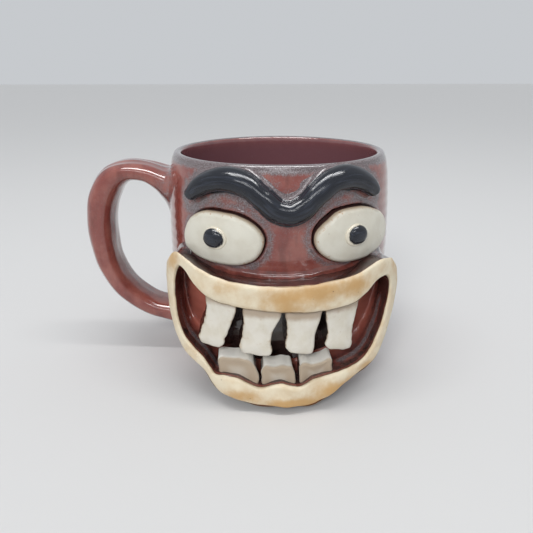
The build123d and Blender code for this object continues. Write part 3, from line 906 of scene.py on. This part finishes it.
def tooth_look():
    """Satin white slip over clay, stained dark down the sides, with painted shadow and stain under the
    lip, painted shade on the lower teeth's fronts and painted light on their tops.
    """
    look, tree, shader = new_look("tooth_slip")
    patch, grain = noise(tree, 2.4, 4, 0.62), noise(tree, 0.5, 2, 0.6)
    colour = mix(tree, smooth(tree, noise(tree, 6, 3), 0.35, 0.7), TOOTH_WHITE, TOOTH_CREAM)
    fleck = smooth(tree, noise(tree, 1.1, 2, 0.7), 0.70, 0.76)
    colour = mix(tree, times(tree, fleck, 0.5), colour, OCHRE)
    worn = added(tree, mark(tree, "stain"), patch, 4.5)
    stain = smooth(tree, worn, 1.1, 2.1)
    edge = times(tree, smooth(tree, worn, 0.5, 1.5), 0.6)
    colour = mix(tree, edge, colour, TOOTH_TAN)
    colour = mix(tree, stain, colour, STAIN)
    # painted shadow and stain under the lip
    gum = smooth(tree, added(tree, mark(tree, "gum"), patch, 2.0), 0.6, 3.2)
    colour = mix(tree, times(tree, gum, 0.8), colour, TOOTH_GUM_STAIN_AND_SHADOW)
    # painted shade on the lower teeth's fronts
    colour = mix(tree, times(tree, mark(tree, "faced"), 0.9), colour, TOOTH_FRONT_SHADE)
    # painted light on the lower teeth's tops
    colour = mix(tree, times(tree, mark(tree, "top"), 0.9), colour, TOOTH_TOP_LIGHT)
    rough = maths(tree, "SUBTRACT", 0.48, times(tree, stain, 0.25))
    height = maths(tree, "ADD", patch, times(tree, grain, 0.3))
    finish_look(tree, shader, colour, rough, height, 0.14)
    return look


def eye_look():
    """Satin off-white slip that goes beige over the rounded edge."""
    look, tree, shader = new_look("eye_slip")
    patch, grain = noise(tree, 2.2, 4, 0.6), noise(tree, 0.45, 2, 0.6)
    colour = mix(tree, smooth(tree, noise(tree, 8, 3), 0.35, 0.7), EYE_WHITE, EYE_CREAM)
    beige_edge = smooth(tree, added(tree, mark(tree, "depth"), patch, 1.2), 1.1, 2.6)
    colour = mix(tree, times(tree, beige_edge, 0.75), colour, EYE_BEIGE)
    flash = times(tree, smooth(tree, noise(tree, 1.6, 3, 0.7), 0.59, 0.67),
                  smooth(tree, mark(tree, "depth"), 0.8, 1.5))
    colour = mix(tree, times(tree, flash, 0.8), colour, EYE_RUST)
    speck = smooth(tree, noise(tree, 0.9, 1, 0.5), 0.765, 0.80)
    colour = mix(tree, times(tree, speck, 0.6), colour, EYE_SPECK)
    # painted shade in the gap round the pad's foot
    deep = smooth(tree, added(tree, mark(tree, "depth"), patch, 0.8), 3.4, 4.2)
    colour = mix(tree, deep, colour, EYE_FOOT_SHADE)
    height = maths(tree, "ADD", patch, times(tree, grain, 0.25))
    finish_look(tree, shader, colour, maths(tree, "ADD", 0.36, times(tree, patch, 0.16)), height, 0.10)
    return look


def black_look():
    """Glossy black glaze with brush streaks, over red glaze or cream clay; its blue tint and the lighter
    blue of the streaks are painted reflection.
    """
    look, tree, shader = new_look("black_glaze")
    coil = put(tree, "ShaderNodeAttribute", attribute_name="coil").outputs["Vector"]
    brush = noise(tree, 1.0, 3, 0.6, stretch=(0.10, 1.1, 1.1), coords=coil)
    patch, grain = noise(tree, 2.0, 3, 0.6), noise(tree, 0.4, 2, 0.6)
    red, _, _ = red_glaze(tree)
    # painted reflection: blue-black, lighter blue along the brush streaks
    black = mix(tree, smooth(tree, brush, 0.45, 0.75), BLUE_BLACK, BLUE_STREAK)
    paint = smooth(tree, added(tree, mark(tree, "paint"), patch, 0.9), -0.12, 0.18)
    under = mix(tree, smooth(tree, mark(tree, "break_and_highlight"), 0.1, 0.4), COLLAR, red)
    colour = mix(tree, paint, under, black)
    rough = maths(tree, "ADD", 0.05, times(tree, brush, 0.14))
    height = maths(tree, "ADD", times(tree, brush, 0.45), times(tree, grain, 0.15))
    finish_look(tree, shader, colour, rough, height, 0.16)
    return look


# ---------------------------------------------------------------- stage, light and camera
LENS, SENSOR = 37.486, 36.0
CAMERA_PLACE = (0, -0.2551, 0.13336)  # metres
CAMERA_TURNS = (("Z", 1.26), ("X", 90 - 19.98), ("Z", -0.12))  # pan, tilt and roll
SUN_TURNS = (("Z", -16), ("X", 57))
SKY = (0.57, 0.59, 0.615)
COOL = (0.97, 0.98, 1)
AIM = (0, 0, 0.05)  # the lamps point at the mug's middle


def turned(turns):
    """Turns about axes, in degrees, as one rotation."""
    whole = Matrix.Identity(4)
    for axis, angle in turns:
        whole = whole @ Matrix.Rotation(radians(angle), 4, axis)
    return whole


def build_stage():
    mesh = bpy.data.meshes.new("floor")
    mesh.from_pydata([(-4, -4, 0), (4, -4, 0), (4, 4, 0), (-4, 4, 0)], [], [(0, 1, 2, 3)])
    look, tree, shader = new_look("pale_floor")
    feed(tree, shader.inputs["Base Color"], FLOOR_GREY)
    feed(tree, shader.inputs["Roughness"], 0.7)
    mesh.materials.append(look)
    floor = add_object("floor", mesh)


def lamp(name, place, size, power, colour, shine_only=False):
    """A soft oblong lamp. With shine_only it is seen in reflections and lights nothing else."""
    light = bpy.data.lights.new(name, "AREA")
    light.shape, light.size, light.size_y = "RECTANGLE", *size
    light.energy, light.color = power, colour
    made = add_object(name, light)
    made.visible_diffuse = not shine_only
    way = Vector(AIM) - Vector(place)
    made.matrix_world = Matrix.Translation(place) @ way.to_track_quat("-Z", "Y").to_matrix().to_4x4()


def build_light():
    world = bpy.data.worlds.new("studio")
    bpy.context.scene.world = world
    world.use_nodes = True
    sky = world.node_tree.nodes["Background"]
    feed(world.node_tree, sky.inputs["Color"], SKY)
    feed(world.node_tree, sky.inputs["Strength"], 1.0)
    sun = bpy.data.lights.new("key", "SUN")
    sun.energy, sun.angle, sun.color = 1.5, radians(20), (1, 0.985, 0.96)
    made = add_object("key", sun)
    made.visible_glossy = False
    made.matrix_world = turned(SUN_TURNS)
    lamp("overhead", (0.0, -0.10, 0.85), (0.9, 0.06), 3.0, (1, 0.99, 0.98))
    lamp("window", (0.0, -0.16, 0.80), (0.8, 0.20), 4.2, COOL, shine_only=True)
    lamp("far_window", (-0.1, -0.95, 0.80), (1.1, 0.10), 3.2, COOL, shine_only=True)


def build_camera():
    camera = bpy.data.cameras.new("camera")
    camera.lens, camera.sensor_width = LENS, SENSOR
    camera.clip_start = 0.01
    made = add_object("camera", camera)
    made.matrix_world = Matrix.Translation(CAMERA_PLACE) @ turned(CAMERA_TURNS)
    bpy.context.scene.camera = made


GLAZE = glaze_and_clay("red_glaze")
CLAY = glaze_and_clay("bare_clay")
TOOTH, SLIP, BLACK = tooth_look(), eye_look(), black_look()

build_cup()
build_handle()
build_brow()
build_lips()
# The last number given to a tooth, an eye or a pupil seeds its unevenness
for number, tooth_name in enumerate(TEETH):
    build_tooth(tooth_name, 40 + 5 * number)
build_eye("left", 80)
build_eye("right", 85)
build_pupil("left", (-1.3, -0.7), (0.3, -0.3), 1)
build_pupil("right", (1.1, -0.6), (-0.35, -0.3), 2)
build_stage()
build_light()
build_camera()
bpy.context.scene.view_settings.view_transform = "Standard"
